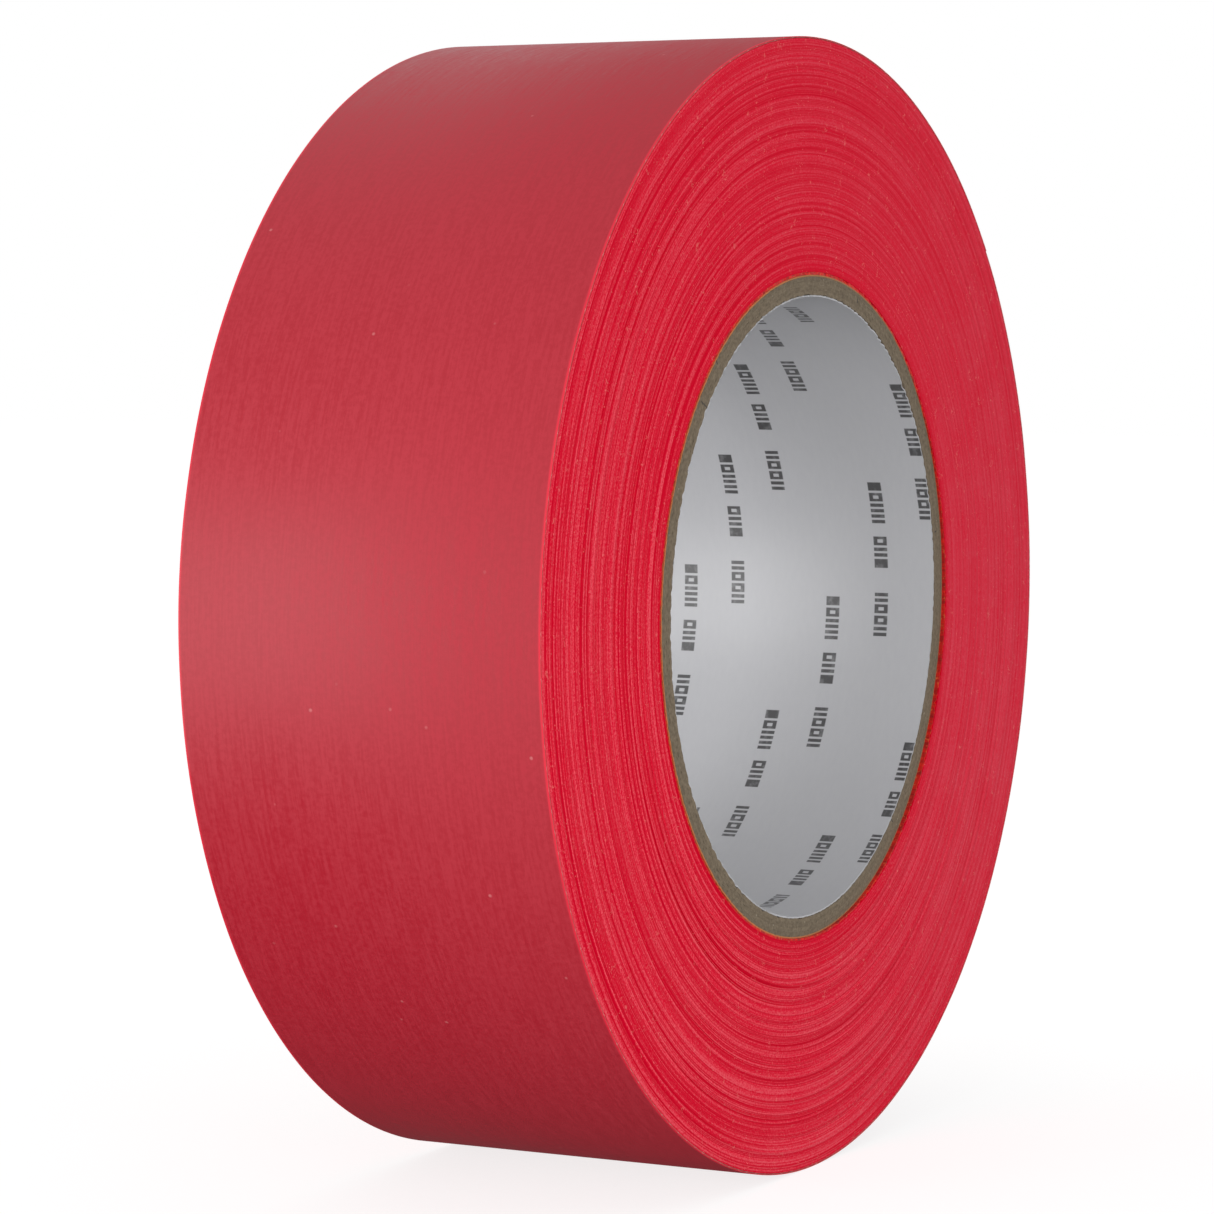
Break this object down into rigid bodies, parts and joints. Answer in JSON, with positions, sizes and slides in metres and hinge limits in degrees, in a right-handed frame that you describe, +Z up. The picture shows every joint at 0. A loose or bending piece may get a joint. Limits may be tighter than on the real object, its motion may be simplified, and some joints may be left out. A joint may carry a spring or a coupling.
{
  "type": "duct tape roll",
  "caption": "Roll of red cloth duct tape on a spirally wound paperboard core, standing on its rim, with a free end that peels.",
  "frame": {"origin": "centre of the core, at the middle of the tape's width", "axes": "+Y along the roll's axis, towards the back face; -Y is the front face; +Z up, away from the surface that the rim stands on; the free end lies at +X, upper side"},
  "size_m": [0.1417, 0.048, 0.1417],
  "materials": {
    "film_red": "satin polyethylene film",
    "wound_red": "cut edges of wound tape",
    "scrim_cotton": "open gauze",
    "adhesive_pink": "tacky, the film's red showing through",
    "liner_paper": "smooth printed paper",
    "chipboard": "cut grey-brown board",
    "kraft_paper": "brown kraft"
  },
  "bodies": {
    "roll": {"core_liner": "liner_paper", "core_ply_1": "chipboard", "core_ply_2": "chipboard", "core_ply_3": "chipboard", "core_ply_4": "chipboard", "core_wrap": "kraft_paper", "tape_first_turn": "wound_red", "tape_winding": "wound_red", "last_turn_film": "film_red", "last_turn_scrim": "scrim_cotton", "last_turn_adhesive": "adhesive_pink"},
    "end_1": {"end_film_1": "film_red", "end_scrim_1": "scrim_cotton", "end_adhesive_1": "adhesive_pink"},
    "end_2": {"end_film_2": "film_red", "end_scrim_2": "scrim_cotton", "end_adhesive_2": "adhesive_pink"},
    "end_3": {"end_film_3": "film_red", "end_scrim_3": "scrim_cotton", "end_adhesive_3": "adhesive_pink"},
    "end_4": {"end_film_4": "film_red", "end_scrim_4": "scrim_cotton", "end_adhesive_4": "adhesive_pink"}
  },
  "joints": [
    {"name": "end_peel", "type": "hinge", "parent": "roll", "child": "end_1", "pos_m": [0.00696, 0, 0.07063], "axis": [0, -1, 0], "range_deg": [0, 150]},
    {"name": "end_straighten_2", "type": "hinge", "parent": "end_1", "child": "end_2", "pos_m": [0.0206, 0, 0.06793], "axis": [0, -1, 0], "range_deg": [0, 11.25]},
    {"name": "end_straighten_3", "type": "hinge", "parent": "end_2", "child": "end_3", "pos_m": [0.03346, 0, 0.06261], "axis": [0, -1, 0], "range_deg": [0, 11.25]},
    {"name": "end_straighten_4", "type": "hinge", "parent": "end_3", "child": "end_4", "pos_m": [0.04504, 0, 0.05488], "axis": [0, -1, 0], "range_deg": [0, 11.25]}
  ],
  "couplings": [
    {"joint": "end_straighten_2", "follows": "end_peel", "ratio": 0.075},
    {"joint": "end_straighten_3", "follows": "end_peel", "ratio": 0.075},
    {"joint": "end_straighten_4", "follows": "end_peel", "ratio": 0.075}
  ]
}
